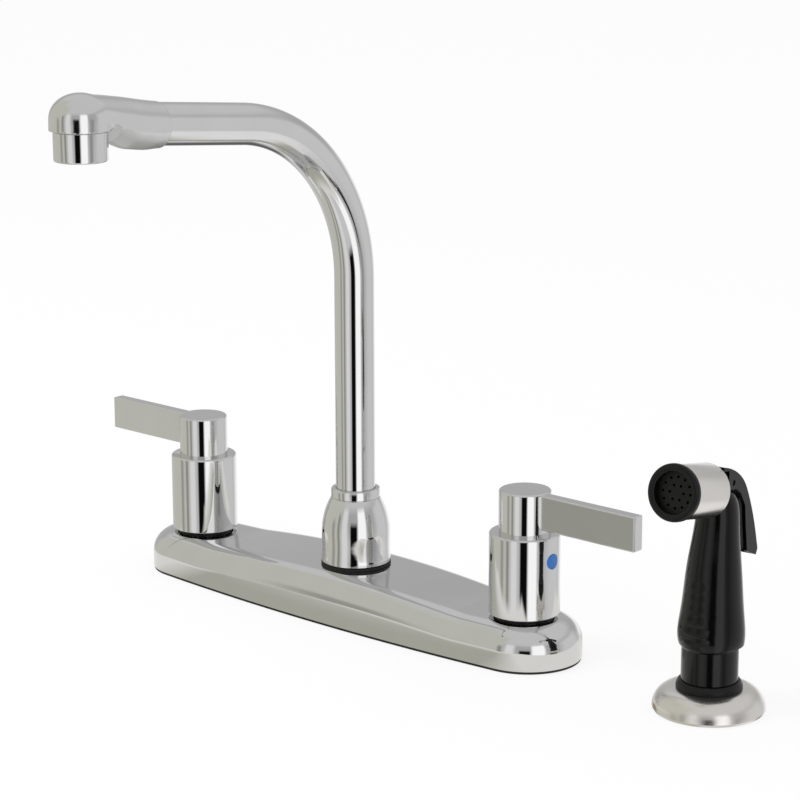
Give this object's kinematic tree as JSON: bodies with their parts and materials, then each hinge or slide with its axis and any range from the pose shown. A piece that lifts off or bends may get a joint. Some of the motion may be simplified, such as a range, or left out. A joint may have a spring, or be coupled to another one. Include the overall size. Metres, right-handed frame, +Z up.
{
  "type": "kitchen faucet",
  "caption": "Kitchen faucet with hot and cold lever handles on a crowned deck plate, a high gooseneck spout and a separate pull-up side sprayer.",
  "frame": {"origin": "on the spout's turning axis, at the level of the sink deck, at the top of the centre hose outlet's free length", "axes": "+X along the deck plate towards the cold handle and the side sprayer, -Y towards the user (the spout points that way), +Z up"},
  "size_m": [0.389, 0.2027, 0.3063],
  "materials": {
    "chrome": "polished chrome plate",
    "satin": "satin nickel-like plate",
    "brass": "turned brass",
    "steel": "bright steel",
    "black_gloss": "glossy moulded plastic",
    "black_plastic": "moulded plastic",
    "seal": "black rubber",
    "ceramic": "polished ceramic, filed as gloss plastic",
    "white_plastic": "moulded plastic",
    "blue": "glossy plastic",
    "red": "glossy plastic"
  },
  "bodies": {
    "deck_unit": {"deck_plate": "chrome", "deck_gasket": "seal", "waterway": "brass", "sprayer_hose_nipple": "brass", "shank_washers": "steel", "shank_nuts": "brass", "plate_lock_nuts": "black_plastic", "valve_seats": "seal", "fixed_discs": "ceramic", "cartridge_nuts": "brass", "hot_cartridge": "brass", "cold_cartridge": "brass", "hot_shank": "brass", "cold_shank": "brass", "spout_bell": "chrome", "spout_seal_ring": "seal", "diverter_seat": "brass", "sprayer_flange": "satin", "sprayer_holder": "black_plastic", "holder_nut": "black_plastic"},
    "spout": {"spout_tube": "chrome", "spout_foot": "brass", "spout_o_rings": "seal", "spout_head": "chrome", "aerator_housing": "chrome", "aerator_insert": "white_plastic", "aerator_washer": "seal"},
    "hot_handle": {"hot_moving_disc": "ceramic", "hot_stem": "brass", "hot_handle_body": "chrome", "hot_lever": "chrome", "hot_lever_screw": "steel", "hot_set_screw": "steel", "hot_index_button": "red"},
    "cold_handle": {"cold_moving_disc": "ceramic", "cold_stem": "brass", "cold_handle_body": "chrome", "cold_lever": "chrome", "cold_lever_screw": "steel", "cold_set_screw": "steel", "cold_index_button": "blue"},
    "diverter": {"diverter_piston": "white_plastic"},
    "sprayer": {"sprayer_body": "black_gloss", "sprayer_ring": "satin", "sprayer_nozzle": "black_gloss", "spray_face": "black_plastic", "trigger_pin": "steel", "sprayer_hose_nut": "black_plastic"},
    "thumb_lever": {"sprayer_trigger": "black_gloss"},
    "plunger": {"sprayer_plunger": "black_plastic", "sprayer_spring": "steel"}
  },
  "joints": [
    {"name": "spout_swivel", "type": "hinge", "parent": "deck_unit", "child": "spout", "pos_m": [0, 0, 0.05], "axis": [0, 0, 1], "continuous": true},
    {"name": "hot_handle_turn", "type": "hinge", "parent": "deck_unit", "child": "hot_handle", "pos_m": [-0.1016, 0, 0.03], "axis": [0, 0, 1], "range_deg": [0, 90]},
    {"name": "cold_handle_turn", "type": "hinge", "parent": "deck_unit", "child": "cold_handle", "pos_m": [0.1016, 0, 0.03], "axis": [0, 0, -1], "range_deg": [0, 90]},
    {"name": "diverter_slide", "type": "slide", "parent": "deck_unit", "child": "diverter", "axis": [0, 0, 1], "range_m": [0, 0.003]},
    {"name": "sprayer_lift", "type": "slide", "parent": "deck_unit", "child": "sprayer", "axis": [0, 0, 1], "range_m": [0, 0.15]},
    {"name": "trigger_press", "type": "hinge", "parent": "sprayer", "child": "thumb_lever", "pos_m": [0.20131, 0.00448, 0.0978], "axis": [-0.9962, -0.0872, 0], "range_deg": [0, 8], "stiffness_Nm_per_rad": 0.6, "springref_deg": -2.86},
    {"name": "plunger_slide", "type": "slide", "parent": "sprayer", "child": "plunger", "axis": [0.0858, -0.9805, 0.1771], "range_m": [0, 0.00136]}
  ],
  "couplings": [
    {"joint": "plunger_slide", "follows": "trigger_press", "m_per_rad": 0.009}
  ]
}
